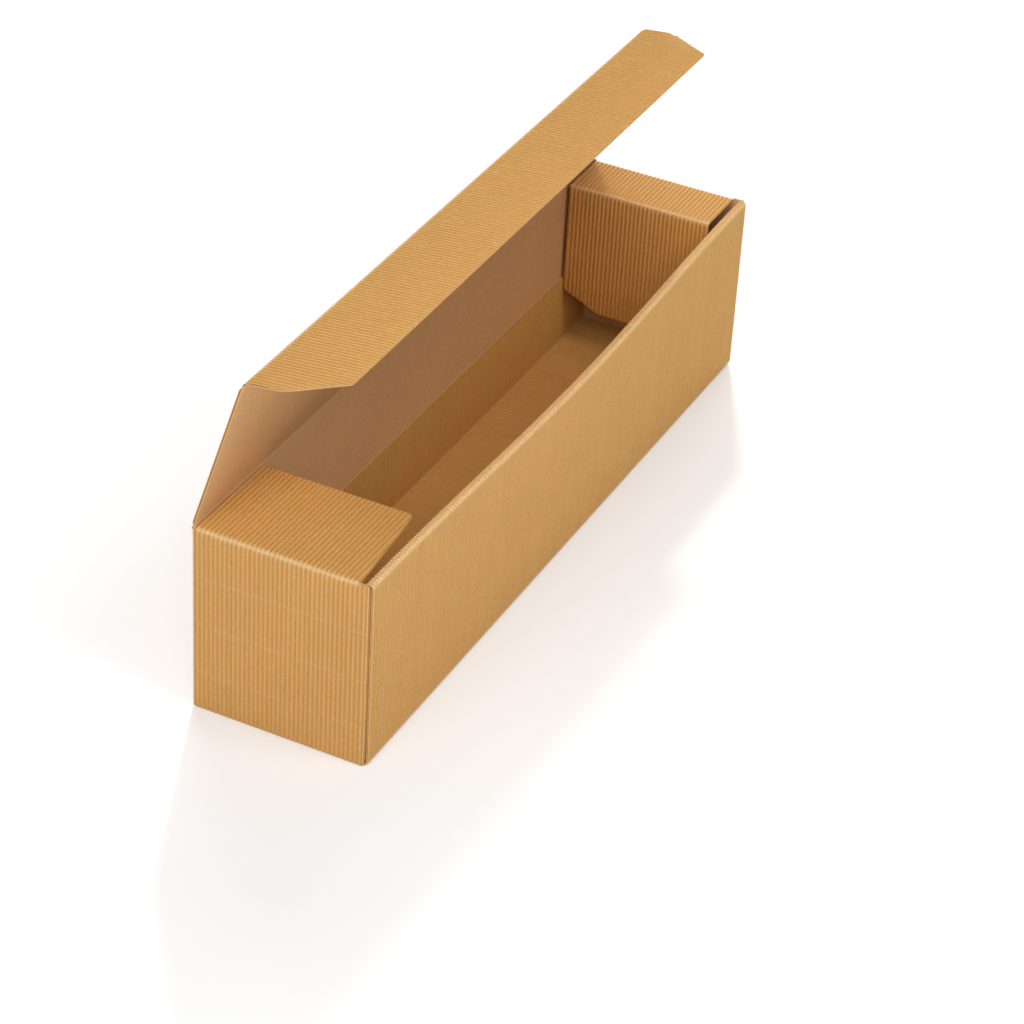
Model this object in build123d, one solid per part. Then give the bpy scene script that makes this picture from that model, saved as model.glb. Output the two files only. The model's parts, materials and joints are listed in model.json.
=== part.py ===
"""Shipping box for one bottle, folded from a single sheet of open-flute kraft board.

The sheet has one smooth paper, which faces inwards, and open waves glued to its outside. Every fold is
made so that the waves stay outside, and where the sheet rolls over the front rim and comes back inside,
the waves face the bottle.

The sheet is written as three solids, because it hinges in two places:
tray       back wall, base, double front wall, inner floor, end walls, dust flap and bottle spacer
lid        hinged on the back wall's top edge
tuck_flap  hinged on the lid's free edge, tucks in behind the front rim

Frame: X along the box, the dust flap at -X and the spacer at +X. Y across it, the front at -Y and the
lid's hinge at +Y. Z up, with the origin in the middle of the base, on the surface that it stands on.
"""

import os
from math import cos, pi

from build123d import *

# Outside of the tray
LENGTH = 384.0
WIDTH = 86.0
HEIGHT = 94.0

# The board
LINER = 0.5            # the smooth paper
FLUTE_DEPTH = 0.8      # the open waves outside it
FLUTE_PITCH = 2.2      # from crest to crest
CREASE = 2.2           # width of the band beside a hinge where the waves are pressed flat
PRESSED = 0.35         # what is left of a wave's depth at the end walls' lower edge
CREST_WEAR = 0.1       # the base's crests are pressed flat by this much, where the box stands on them

# Clearances
FOLD_GAP = 0.3         # between faces of the sheet that lie on or against each other
EDGE_GAP = 0.4         # between a cut edge and the wall beside it
HINGE_GAP = 0.3        # between the round back of a hinge and the edge that it turns against

# Double front wall
WALL_SPACE = 2.0       # between its two smooth faces, where the ears of the end walls are held
FRONT_BOW = 4.0        # how far its rim stands out in the middle of the box
EAR_LENGTH = 28.0      # of the ears folded off the end walls
STRIP_TOP = 40.0       # top of the strip that ends the roll-over panel, against the back wall

# Dust flap at the near end
FLAP_DEPTH = 56.0      # from the outside of the end wall
FLAP_SET_BACK = 4.5    # how much further its free corner stands from the front wall than its root
FLAP_CORNER = 3.0      # radius of the free corner

# Spacer at the far end
SPACER_DEPTH = 32.0    # from the outside of the end wall
SPACER_BOTTOM = 25.0   # height of its lower edge above the surface
SPACER_SET_BACK = 7.5  # from the outside of the front wall to the edge of the spacer
SPACER_BEVEL_WIDTH = 20.0
SPACER_BEVEL_HEIGHT = 9.0

# End walls
END_LIFT = 0.25        # of their lower edge above the surface

# Lid and tuck flap
LID_OPEN = 73.3        # degrees from closed, as modelled
LID_CORNER = 4.0       # radius of the lid's free corners
TUCK_FOLD = 67.6       # degrees that the tuck flap is folded in from the lid's plane, as modelled
TUCK_DEPTH = 40.0      # from its hinge line to its free edge
TUCK_ROOT = 1.9        # how far its ends are set in at the hinge line
TUCK_ROOT_RUN = 4.0    # how far from the hinge line they reach their full width
TUCK_STRAIGHT = 16.5   # from the hinge line to where its ends are bevelled
TUCK_BEVEL = 16.5      # how far its bevelled ends come in
TUCK_CORNER = 18.0     # radius between a straight end and its bevel

# Worked out from the sizes above
CALIPER = LINER + FLUTE_DEPTH
HALF_CALIPER = CALIPER / 2
HALF_LENGTH = LENGTH / 2
HALF_WIDTH = WIDTH / 2
BACK_FACE = HALF_WIDTH - CALIPER                    # smooth face of the back wall
BACK_HALF = HALF_LENGTH - CALIPER                   # half the back wall's length, up to its corner folds
INNER_HALF = BACK_HALF - EDGE_GAP                   # half the length of all that lies between the end walls
FRONT_FACE = -HALF_WIDTH + CALIPER                  # smooth face of the outer front panel
ROLL_FACE = FRONT_FACE + WALL_SPACE                 # smooth face of the inner front panel
FLOOR_TOP = CALIPER - CREST_WEAR                    # smooth face of the base
INNER_FLOOR = FLOOR_TOP + FOLD_GAP                  # smooth face of the inner floor
STRIP_FACE = BACK_FACE - FOLD_GAP                   # smooth face of the strip at the back wall
UNDER_FLAPS = HEIGHT - CALIPER                      # smooth faces under the dust flap and the spacer
EAR_FACE = FRONT_FACE + (WALL_SPACE - CALIPER) / 2  # waves of the ears, inside the double front wall
HINGE_Y = HALF_WIDTH - HALF_CALIPER
HINGE_Z = HEIGHT + HINGE_GAP + HALF_CALIPER
TUCK_FACE = ROLL_FACE + 2 * CALIPER + FOLD_GAP      # smooth face of the tuck flap when the box is shut
LID_SPAN = HINGE_Y - TUCK_FACE                      # from the lid's hinge line to the tuck flap's
TUCK_HALF = BACK_HALF - 2 * EDGE_GAP
FLAP_FRONT = TUCK_FACE + FOLD_GAP                   # root of the dust flap's front edge, clear of the tuck
HANG_BACK = STRIP_FACE - CALIPER - EDGE_GAP         # the spacer's edge, clear of the strip
BOW_STEPS = 12                                      # straight steps that the bowed smooth faces are made of
FAR = LENGTH                                        # larger than any panel, for cutting tools


def wave_count(length):
    """The odd number of waves that fits a length best, so that one crest is in its middle."""
    return 2 * round((length / FLUTE_PITCH - 1) / 2) + 1


def bow(share):
    """How far the front rim stands out, at a share of the half length: nothing at the ends."""
    return FRONT_BOW * cos(pi * share / 2) ** 2


def station(count, low, high, foot, outward, place, depth=1.0, bowed=False):
    """The closed outline of the board where it is folded or cut: the waves, then the smooth face.

    The outline runs from low to high. foot is its point on the smooth face, in the plane that the folds
    are seen in, and outward leads from there to the waves: a face's normal at a cut edge, and the sum
    of two normals at a fold, which is the mitre between them.
    """
    middle, half = (low + high) / 2, (high - low) / 2
    points = []
    for step in range(2 * count + 1):
        share = step / count - 1
        thick = LINER + (FLUTE_DEPTH * depth if step % 2 else 0)
        out = bow(share) if bowed else 0
        across, up = foot[0] + outward[0] * thick - out, foot[1] + outward[1] * thick
        points.append(place(middle + share * half, across, up))
    for step in range(BOW_STEPS + 1):
        share = 1 - 2 * step / BOW_STEPS
        out = bow(share) if bowed else 0
        points.append(place(middle + share * half, foot[0] - out, foot[1]))
    return Wire.make_polygon(points)


def along_box(x, y, z):
    """Puts an outline whose waves follow each other along the box."""
    return (x, y, z)


def across_end(side):
    """Puts an outline whose waves follow each other across an end, where depth is counted inwards."""
    return lambda y, depth, z: (side * (HALF_LENGTH - depth), y, z)


def block(low, high):
    """A plain block between two corners."""
    size = [b - a for a, b in zip(low, high)]
    return Pos(*low) * Box(*size, align=(Align.MIN, Align.MIN, Align.MIN))


def corner_fold(x, y, z_low, z_high, x_side, y_side):
    """The round outside of an upright fold: a quarter of a rod as thick as the board."""
    rod = Pos(x, y, z_low) * Cylinder(CALIPER, z_high - z_low, align=(Align.CENTER, Align.CENTER, Align.MIN))
    reach = (x + x_side * FAR, y + y_side * FAR)
    low = (min(x, reach[0]), min(y, reach[1]), z_low)
    high = (max(x, reach[0]), max(y, reach[1]), z_high)
    return rod & block(low, high)


def wrap():
    """Back wall, base, outer front, rim, inner front, inner floor and strip: one board, seven panels."""
    count = wave_count(LENGTH)
    folds = [
        (BACK_HALF, (BACK_FACE, HEIGHT), (1, 0), False),
        (BACK_HALF, (BACK_FACE, FLOOR_TOP), (1, -1), False),
        (INNER_HALF, (FRONT_FACE, FLOOR_TOP), (-1, -1), False),
        (INNER_HALF, (FRONT_FACE, UNDER_FLAPS), (-1, 1), True),
        (INNER_HALF, (ROLL_FACE, UNDER_FLAPS), (1, 1), True),
        (INNER_HALF, (ROLL_FACE, INNER_FLOOR), (1, 1), False),
        (INNER_HALF, (STRIP_FACE, INNER_FLOOR), (-1, 1), False),
        (INNER_HALF, (STRIP_FACE, STRIP_TOP), (-1, 0), False),
    ]
    outlines = [station(count, -half, half, foot, out, along_box, bowed=b) for half, foot, out, b in folds]
    board = Solid.make_loft(outlines, ruled=True)
    under = block((-FAR, -FAR, -CALIPER), (FAR, FAR, 0))
    return board - under


def end_board(side, tail):
    """An end wall and what is folded off its top. tail lists the (depth, z), outward of each later fold."""
    low, high = EAR_FACE + CALIPER, BACK_FACE
    count = wave_count(high - low)
    folds = [
        ((CALIPER, END_LIFT), (-1, 0), PRESSED),
        ((CALIPER, END_LIFT + CREASE), (-1, 0), 1.0),
        ((CALIPER, UNDER_FLAPS), (-1, 1), 1.0),
    ] + tail
    outlines = [station(count, low, high, foot, out, across_end(side), depth) for foot, out, depth in folds]
    return Solid.make_loft(outlines, ruled=True)


def ear(side):
    """The ear folded off an end wall, held inside the double front wall, and its upright fold."""
    low, high = END_LIFT + FLOOR_TOP + FOLD_GAP, UNDER_FLAPS - FOLD_GAP
    count = wave_count(EAR_LENGTH - CALIPER)
    ends = sorted((side * BACK_HALF, side * (HALF_LENGTH - EAR_LENGTH)))
    panel = Solid.make_loft(
        [station(count, *ends, (EAR_FACE + CALIPER, z), (-1, 0), along_box) for z in (low, high)], ruled=True
    )
    return panel + corner_fold(side * BACK_HALF, EAR_FACE + CALIPER, END_LIFT, high, side, -1)


def near_end():
    """The near end wall, with the dust flap that lies on top of it under the lid."""
    board = end_board(-1, [((FLAP_DEPTH, UNDER_FLAPS), (0, 1), 1.0)])
    root, free = -BACK_HALF, FLAP_DEPTH - HALF_LENGTH
    outline = Polyline(
        (root, BACK_FACE - EDGE_GAP),
        (free, BACK_FACE - EDGE_GAP),
        (free, FLAP_FRONT + FLAP_SET_BACK),
        (root, FLAP_FRONT),
        close=True,
    )
    sheet = make_face(outline)
    sheet = fillet(sheet.vertices().group_by(Axis.X)[-1].sort_by(Axis.Y)[0], FLAP_CORNER)
    flap = Pos(0, 0, UNDER_FLAPS - CALIPER) * extrude(sheet, 3 * CALIPER)
    wall = block((-HALF_LENGTH - CALIPER, -FAR, 0), (root, FAR, HEIGHT + CALIPER))
    return (board & wall) + (board & flap)


def far_end():
    """The far end wall, the strip on top of it and the panel that hangs down from it to space the bottle."""
    fold = SPACER_DEPTH - CALIPER
    board = end_board(
        1,
        [
            ((fold, UNDER_FLAPS), (1, 1), 1.0),
            ((fold, SPACER_BOTTOM), (1, 0), 1.0),
        ],
    )
    front = -HALF_WIDTH + SPACER_SET_BACK
    outline = Polyline(
        (front, HEIGHT + CALIPER),
        (front, SPACER_BOTTOM + SPACER_BEVEL_HEIGHT),
        (front + SPACER_BEVEL_WIDTH, SPACER_BOTTOM),
        (HANG_BACK - SPACER_BEVEL_WIDTH, SPACER_BOTTOM),
        (HANG_BACK, SPACER_BOTTOM + SPACER_BEVEL_HEIGHT),
        (HANG_BACK, HEIGHT + CALIPER),
        close=True,
    )
    sheet = make_face(Plane.YZ * outline)
    spacer = Pos(HALF_LENGTH - SPACER_DEPTH - CALIPER, 0, 0) * extrude(sheet, SPACER_DEPTH)
    wall = block((BACK_HALF, -FAR, 0), (HALF_LENGTH + CALIPER, FAR, HEIGHT + CALIPER))
    return (board & wall) + (board & spacer)


def tray():
    """The sheet without its lid."""
    body = wrap() + near_end() + far_end()
    for side in (-1, 1):
        body += corner_fold(side * BACK_HALF, BACK_FACE, END_LIFT, HEIGHT, side, 1)
        body += ear(side)
    return body


def flat_board(half, start, end, under):
    """A flat board in its closed place, from start to end in front of a hinge line, waves upwards."""
    count = wave_count(2 * half)
    outlines = [station(count, -half, half, (-y, under), (0, 1), along_box) for y in (start, end)]
    return Solid.make_loft(outlines, ruled=True)


def crease_band(half, start, end, under):
    """The band beside a hinge, where only the smooth paper keeps its thickness."""
    return block((-half, -end, under), (half, -start, under + LINER))


def cut_to(body, sheet):
    """What a flat outline leaves of a board that lies in its closed place."""
    return body & (Pos(0, 0, -CALIPER) * extrude(sheet, 3 * CALIPER))


def lid():
    """The lid: its hinge line runs through the middle of the board, so it folds both ways."""
    end = LID_SPAN - LINER - HINGE_GAP
    body = Rot(0, 90, 0) * Cylinder(HALF_CALIPER, 2 * HALF_LENGTH)
    for start, stop in ((0, CREASE), (end - CREASE, end)):
        body += crease_band(HALF_LENGTH, start, stop, -HALF_CALIPER)
    body += flat_board(HALF_LENGTH, CREASE, end - CREASE, -HALF_CALIPER)
    sheet = Pos(0, (CALIPER - end) / 2) * Rectangle(2 * HALF_LENGTH, CALIPER + end)
    sheet = fillet(sheet.vertices().group_by(Axis.Y)[0], LID_CORNER)
    return Pos(0, HINGE_Y, HINGE_Z) * Rot(-LID_OPEN, 0, 0) * cut_to(body, sheet)


def tuck_flap():
    """The tuck flap: its hinge line runs along the smooth face, so it folds in against the lid.

    Its ends are set in at the hinge, straight beside it and then bevelled, to lead it in behind the rim.
    """
    root_half = TUCK_HALF - TUCK_ROOT
    outline = Polyline(
        (-root_half, 0),
        (-TUCK_HALF, -TUCK_ROOT_RUN),
        (-TUCK_HALF, -TUCK_STRAIGHT),
        (-TUCK_HALF + TUCK_BEVEL, -TUCK_DEPTH),
        (TUCK_HALF - TUCK_BEVEL, -TUCK_DEPTH),
        (TUCK_HALF, -TUCK_STRAIGHT),
        (TUCK_HALF, -TUCK_ROOT_RUN),
        (root_half, 0),
        close=True,
    )
    sheet = make_face(outline)
    bends = [v for v in sheet.vertices() if abs(v.Y + TUCK_STRAIGHT) < LINER]
    sheet = fillet(bends, TUCK_CORNER)
    board = flat_board(TUCK_HALF, CREASE, TUCK_DEPTH, 0) + crease_band(TUCK_HALF, 0, CREASE, 0)
    round_back = Rot(0, 90, 0) * Cylinder(LINER, 2 * root_half)
    body = cut_to(board, sheet) + (round_back & block((-FAR, -LINER, 0), (FAR, LINER, LINER)))
    at_fold = Pos(0, HINGE_Y, HINGE_Z) * Rot(-LID_OPEN, 0, 0) * Pos(0, -LID_SPAN, -HALF_CALIPER)
    return at_fold * Rot(TUCK_FOLD, 0, 0) * body


os.makedirs("parts", exist_ok=True)
for name, solid in {"tray": tray(), "lid": lid(), "tuck_flap": tuck_flap()}.items():
    export_step(solid, f"parts/{name}.step")
    reach = solid.bounding_box()
    print(name, "volume", round(solid.volume), "mm3, from", reach.min, "to", reach.max)
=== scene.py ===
# %% [markdown]
# # A bottle box of open-flute card
# The real object is one sheet of kraft board, cut flat and folded up. The board is two papers: a
# flat one, and a wavy one glued to it by its troughs. The waves are left open on the outside of the
# box. The CAD model gives the panels, the folds and the two hinges. This script gives them the
# board itself: both papers, the pressed folds and the look of kraft. All sizes are in metres, in
# the frame of the CAD model.

import json
import math

import bpy
import numpy as np
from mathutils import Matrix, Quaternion, Vector


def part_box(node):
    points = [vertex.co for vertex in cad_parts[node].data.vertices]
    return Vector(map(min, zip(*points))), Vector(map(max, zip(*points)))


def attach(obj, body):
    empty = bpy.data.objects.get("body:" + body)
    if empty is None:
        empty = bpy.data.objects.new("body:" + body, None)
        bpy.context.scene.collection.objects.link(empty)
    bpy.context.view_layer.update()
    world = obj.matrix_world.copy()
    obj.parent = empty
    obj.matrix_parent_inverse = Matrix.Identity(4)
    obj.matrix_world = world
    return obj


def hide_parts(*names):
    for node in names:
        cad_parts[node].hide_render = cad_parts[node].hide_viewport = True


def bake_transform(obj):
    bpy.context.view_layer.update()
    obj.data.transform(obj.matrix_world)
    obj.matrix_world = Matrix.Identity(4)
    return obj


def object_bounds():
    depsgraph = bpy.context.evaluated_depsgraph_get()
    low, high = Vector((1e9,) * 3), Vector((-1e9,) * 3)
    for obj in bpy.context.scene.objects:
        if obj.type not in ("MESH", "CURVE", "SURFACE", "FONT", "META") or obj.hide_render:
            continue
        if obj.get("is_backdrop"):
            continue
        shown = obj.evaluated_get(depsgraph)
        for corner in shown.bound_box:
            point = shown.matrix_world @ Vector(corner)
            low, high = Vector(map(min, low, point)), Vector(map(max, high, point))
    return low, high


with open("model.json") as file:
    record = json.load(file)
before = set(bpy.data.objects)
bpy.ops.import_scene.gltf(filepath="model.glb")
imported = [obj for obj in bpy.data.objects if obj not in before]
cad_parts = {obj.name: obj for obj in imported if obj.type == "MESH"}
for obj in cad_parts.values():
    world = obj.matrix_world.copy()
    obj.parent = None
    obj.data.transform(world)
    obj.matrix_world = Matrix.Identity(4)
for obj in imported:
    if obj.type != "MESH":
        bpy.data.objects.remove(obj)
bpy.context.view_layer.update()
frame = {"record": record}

# %% [markdown]
# ## Sizes
# What the frame knows is read from it: the outside of the tray, and the two hinge lines from the
# record. The rest are the sizes of the board and the places of the folds, the same as in the CAD
# model. A panel's place is given by its smooth face, because that is where a folding sheet keeps
# its length.

# %% Sizes of the box and of its board
MM = 0.001
tray_low, tray_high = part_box("tray")
HALF_LENGTH, HALF_WIDTH, HEIGHT = tray_high
FRONT_BOW = -tray_low.y - HALF_WIDTH

PAPER = 0.3 * MM            # the flat paper
FLUTING = 0.2 * MM          # the wavy paper
WAVE_DEPTH = 0.8 * MM       # from a trough to a crest
PITCH = 2.2 * MM            # from crest to crest
CALIPER = PAPER + FLUTING + WAVE_DEPTH
HALF_CALIPER = CALIPER / 2
CREST_WEAR = 0.1 * MM       # what the base's crests have lost, standing on a table

FOLD_GAP = 0.3 * MM         # between two layers of board
EDGE_GAP = 0.4 * MM         # between an edge and the wall beside it
END_LIFT = 0.25 * MM        # from the table to an end wall's lower edge

# where smooth faces lie: x and y of the upright ones, z of the level ones
BACK_FACE = HALF_WIDTH - CALIPER
BACK_HALF = HALF_LENGTH - CALIPER
INNER_HALF = BACK_HALF - EDGE_GAP
FRONT_FACE = -BACK_FACE
ROLL_FACE = FRONT_FACE + 2.0 * MM       # the front's roll-over panel
EAR_INSIDE = FRONT_FACE + 1.65 * MM     # the ears, between the front's two layers at its ends
FLOOR_TOP = CALIPER - CREST_WEAR
INNER_FLOOR = FLOOR_TOP + FOLD_GAP
STRIP_FACE = BACK_FACE - FOLD_GAP       # the strip that ends the inner floor, against the back wall
STRIP_TOP = 40.0 * MM
UNDER_FLAPS = HEIGHT - CALIPER
TUCK_FACE = ROLL_FACE + 2 * CALIPER + FOLD_GAP      # the tuck flap, when the box is shut
print("tray", round(2 * HALF_LENGTH, 4), round(2 * HALF_WIDTH, 4), round(HEIGHT, 4),
      "bow", round(FRONT_BOW, 4))

# %% Hinge lines
joints = {joint["name"]: joint for joint in frame["record"]["behaviour"]["joints"]}
LID_HINGE = np.array(joints["lid_hinge"]["pos_m"][1:])
TUCK_HINGE = np.array(joints["tuck_fold"]["pos_m"][1:])
lid_run = TUCK_HINGE - LID_HINGE
LID_SPAN = math.sqrt(lid_run @ lid_run - HALF_CALIPER**2)
LID_OPEN = math.atan2(lid_run[1], -lid_run[0]) + math.atan2(HALF_CALIPER, LID_SPAN)
TUCK_FOLD = math.radians(joints["tuck_fold"]["range_deg"][1])   # it lies flat at this limit
CREASE = 2.2 * MM           # from a hinge line to where its crease ends
print("lid span", round(LID_SPAN, 5), "open", round(math.degrees(LID_OPEN), 2),
      "tuck folded in", round(math.degrees(TUCK_FOLD), 2))

# %% [markdown]
# ## Camera
# The camera comes first. A camera could be keyed in by eye, but here its place, its aim and its
# long lens were worked out from the box's corners. It looks down from the near end and the front,
# slightly rolled.

# %% Camera
CAMERA_PLACE = Vector((-1.15729, -0.55102, 0.87195))
CAMERA_AIM = Vector((-0.05024, -0.03743, 0.04700))
CAMERA_ROLL = math.radians(3.516)
CAMERA_LENS = 115.75

camera = bpy.data.objects.new("camera", bpy.data.cameras.new("camera"))
camera.data.lens = CAMERA_LENS
camera.data.sensor_width = 36
camera.location = CAMERA_PLACE
look = (CAMERA_AIM - CAMERA_PLACE).to_track_quat("-Z", "Y")
camera.rotation_euler = (look @ Quaternion((0, 0, 1), CAMERA_ROLL)).to_euler()
bpy.context.collection.objects.link(camera)
bpy.context.scene.camera = camera
print("camera to aim", round((CAMERA_AIM - CAMERA_PLACE).length, 3))

# %% [markdown]
# ## Waves
# The wavy paper is a cosine across the board. Its depth could come from a displacement modifier,
# but a formula lets the same waves run on from one panel to the next, and sink wherever a fold
# presses them. Real waves are not quite regular, so the phase and the height of each wander a
# little, always in the same way.

# %% Waves of the open paper
WAVE_STEPS = 8              # points to one wave
PHASE_WANDER = 0.05         # how far a crest strays, in waves
CREST_WANDER = 0.05         # how much a crest's height varies, as a share
WANDER_SINES = ((1.7, 1.0), (4.3, 2.1), (11.9, 3.7))        # rate, and share of the seed
LEAST_GAP = 0.05 * MM       # columns closer than this to an edge are left out


def wave_count(length):
    """The odd number of waves that fits a length best, so that there is a crest in its middle."""
    return 2 * round((length / PITCH - 1) / 2) + 1


def wander(x, seed):
    """A slow irregular curve between about -1 and 1: three sines whose rates share no factor."""
    return sum(np.sin(x * rate + seed * shift) for rate, shift in WANDER_SINES) / len(WANDER_SINES)


def wave_height(u, low, high):
    """Height of the waves at places u between troughs at low and high: 0 in a trough, 1 on a crest.

    It is (1 - cos(2 pi n)) / 2, with n counting waves. n wanders by a few hundredths of a wave in
    the middle of the board and not at its ends, and the crests differ by a few percent. The numbers
    that go into wander only choose another stretch of its curve for each board.
    """
    count = wave_count(high - low)
    share = (u - low) / (high - low)
    astray = PHASE_WANDER * np.sin(np.pi * share) * wander(share * count * 0.31, low * 900)
    number = count * share + astray
    crest = 1 - CREST_WANDER * (1 + wander(np.floor(number) * 2.3, 5.0))
    return (1 - np.cos(2 * np.pi * number)) / 2 * crest


def wave_columns(low, high):
    """Places across a board, from low to high: WAVE_STEPS to each wave."""
    return np.linspace(low, high, wave_count(high - low) * WAVE_STEPS + 1)


def wrap_columns(half, extra=()):
    """Columns of a piece of the long wrap: the back wall's within its half length, and extras."""
    shared = wave_columns(-BACK_HALF, BACK_HALF)
    shared = shared[np.abs(shared) < half - LEAST_GAP]
    return np.union1d(shared, np.concatenate([[-half, half], np.asarray(extra, float)]))


print("waves along the box", wave_count(2 * BACK_HALF))

# %% [markdown]
# ## Folds
# A folded board is a path, walked over its smooth face from one edge to the other, with the waves
# on one side of it. Bending a flat mesh with modifiers would stretch the waves. Here the rows of
# each mesh stand on the path instead, with a fan of rows round each outward fold and one row in
# each inward fold. A few rows more beside a fold or a cut edge show where the waves rise again.

# %% Path over a folded board
INNER_RADIUS = 0.15 * MM    # of the smooth paper in an outward fold
FAN_STEPS = 3               # steps round an outward fold
BESIDE_FOLD = np.array([0.4, 0.9, 1.8]) * MM        # rows beside a fold
BESIDE_CUT = np.array([0.5, 1.2]) * MM              # and beside a cut edge
BESIDE_LINE = np.array([-0.7, -0.3, 0, 0.3, 0.7]) * MM      # and across a roller's line
ROW_GAP = 30 * MM           # most between two rows of a flat panel
PRESS_REACH = 0.9 * MM      # how far from a fold or a cut its waves are pressed
RUB_REACH = 0.8 * MM        # how far from a fold its paper is rubbed pale
FOLD_LEAST = 0.25           # share of the waves' height that a fold leaves
CUT_LEAST = 0.4             # and a cut edge
FAR_OFF = 1.0               # a metre: no fold near
LINE_REACH = 0.35 * MM      # half the width of a pale line that a roller has left
LINE_RUB = 0.3              # how pale it is, as a share of a fold


def near(distance, reach):
    """1 at a fold, falling off with the distance d as exp(-(d / reach)^2)."""
    return np.exp(-((distance / reach) ** 2))


def pressed(distance, least):
    """Share of the waves' height at a distance from a fold: least at it, and all further away."""
    return 1 - (1 - least) * near(distance, PRESS_REACH)


def rows_on(length, start, end):
    """Places of the rows on a panel: its ends, close ones beside folds and cuts, and even ones."""
    beside = {"fold": BESIDE_FOLD, "cut": BESIDE_CUT, "seam": np.zeros(0)}
    head, tail = beside[start], length - beside[end][::-1]
    if len(head) and len(tail) and head[-1] > tail[0]:      # the panel is too short for both
        return np.linspace(0, length, 5)
    low = head[-1] if len(head) else 0
    high = tail[0] if len(tail) else length
    even = np.linspace(low, high, max(2, math.ceil((high - low) / ROW_GAP) + 1))[1:-1]
    return np.unique(np.concatenate([[0], head, even, tail, [length]]))


def fold_path(corners, side, least=FOLD_LEAST, ends=("cut", "cut"), beyond=(FAR_OFF, FAR_OFF),
              lines=()):
    """Rows of a board folded at a path's corners, its waves to the left (side 1) or right (-1).

    foot is a row's place on the smooth face, and out leads from there through the thickness. An
    outward fold is an arc of INNER_RADIUS whose directions turn. An inward fold is one row on the
    mitre: the sum of both normals, over one plus their product. share is what is left of the waves'
    height, rub how much a fold has rubbed the paper, cut 1 on a cut edge, way the distance walked,
    and tail the share of the last panel walked. beyond is how far it is from each end of the path
    to a fold of the next piece. lines are places on the first panel where a roller has left a pale
    line.
    """
    corners, lines = np.asarray(corners, float), np.asarray(lines, float)
    runs = np.diff(corners, axis=0)
    lengths = np.hypot(*runs.T)
    heads = runs / lengths[:, None]
    normals = side * np.stack([-heads[:, 1], heads[:, 0]], 1)
    turns = side * (heads[:-1, 0] * heads[1:, 1] - heads[:-1, 1] * heads[1:, 0])
    angles = np.arccos(np.clip((heads[:-1] * heads[1:]).sum(1), -1, 1))
    trims = np.concatenate([[0], np.where(turns < 0, INNER_RADIUS * np.tan(angles / 2), 0), [0]])
    last = len(heads) - 1
    leasts = np.concatenate([[FOLD_LEAST], np.broadcast_to(least, last), [FOLD_LEAST]])
    parts = {name: [] for name in ("foot", "out", "share", "rub", "cut", "way", "tail")}

    def add(**values):
        """Adds rows to the list of each name."""
        for name, value in values.items():
            parts[name].append(value)

    walked = 0.0
    for i, (head, normal) in enumerate(zip(heads, normals)):
        length = lengths[i] - trims[i] - trims[i + 1]
        places = rows_on(length, ends[0] if i == 0 else "fold", ends[1] if i == last else "fold")
        if i and turns[i - 1] >= 0:
            places = places[1:]
        if i == 0:
            places = np.union1d(places, (lines[:, None] + BESIDE_LINE).ravel())
        to_line = np.abs(places[:, None] - lines).min(1, initial=FAR_OFF) if i == 0 else FAR_OFF
        before = places + (beyond[0] if i == 0 else 0)
        after = length - places + (beyond[1] if i == last else 0)
        at_cut = np.zeros(len(places))
        left = pressed(before, leasts[i]) * pressed(after, leasts[i + 1])
        if i == 0 and ends[0] == "cut":
            at_cut[0] = 1
            left = left * pressed(places, CUT_LEAST)
        if i == last and ends[1] == "cut":
            at_cut[-1] = 1
            left = left * pressed(length - places, CUT_LEAST)
        by_fold = near(np.minimum(before, after), RUB_REACH)
        foot = corners[i] + head * (trims[i] + places)[:, None]
        add(foot=foot, out=np.tile(normal, (len(places), 1)), share=left, cut=at_cut,
            rub=np.maximum(by_fold, LINE_RUB * near(to_line, LINE_REACH)),
            way=walked + places, tail=places / length * (i == last))
        walked += length
        if i < last and turns[i] < 0:
            turn = np.linspace(0, angles[i], FAN_STEPS + 1)[1:-1]
            fan = np.cos(turn)[:, None] * normal + np.sin(turn)[:, None] * head
            none = np.zeros(len(fan))
            add(foot=foot[-1] + INNER_RADIUS * (fan - normal), out=fan, share=none + leasts[i + 1],
                rub=none + 1, cut=none, way=walked + INNER_RADIUS * turn, tail=none)
            walked += INNER_RADIUS * angles[i]
        elif i < last:
            parts["out"][-1][-1] = (normal + normals[i + 1]) / (1 + normal @ normals[i + 1])
    rows = {name: np.concatenate(values) for name, values in parts.items()}
    return rows | {"head": heads[-1], "last": lengths[-1]}


# %% [markdown]
# ## The two papers
# One closed shell would do for the board, and its cut edges would look like solid card. The real
# edges show a wavy paper standing on a flat one, with small tunnels between. So each panel is two
# thin closed shells, and the tunnels are really open. Both are grids: rows along the path and
# columns across the waves.

# %% Meshes from grids


def closed_shell(outer, inner):
    """Points and faces of a thin closed shell between two grids of one shape (rows, columns, 3).

    Both grids are joined by a band round their border. The volume under the faces, a sixth of the
    sum of a . (b x c) over their triangles, tells whether they point outwards, and if not they are
    turned.
    """
    rows, columns = outer.shape[:2]
    index = np.arange(rows * columns).reshape(rows, columns)
    square = (index[:-1, :-1], index[:-1, 1:], index[1:, 1:], index[1:, :-1])
    face = np.stack(square, -1).reshape(-1, 4)
    border = np.concatenate([index[0], index[1:, -1], index[-1, -2::-1], index[-2:0:-1, 0]])
    following = np.roll(border, -1)
    band = np.stack([following, border, border + index.size, following + index.size], -1)
    faces = np.concatenate([face, face[:, ::-1] + index.size, band])
    points = np.concatenate([outer.reshape(-1, 3), inner.reshape(-1, 3)])
    a, b, c, d = (points[faces[:, k]] for k in range(4))
    volume = (a * (np.cross(b, c) + np.cross(c, d))).sum() / 6
    return points, faces if volume > 0 else faces[:, ::-1]


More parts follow.
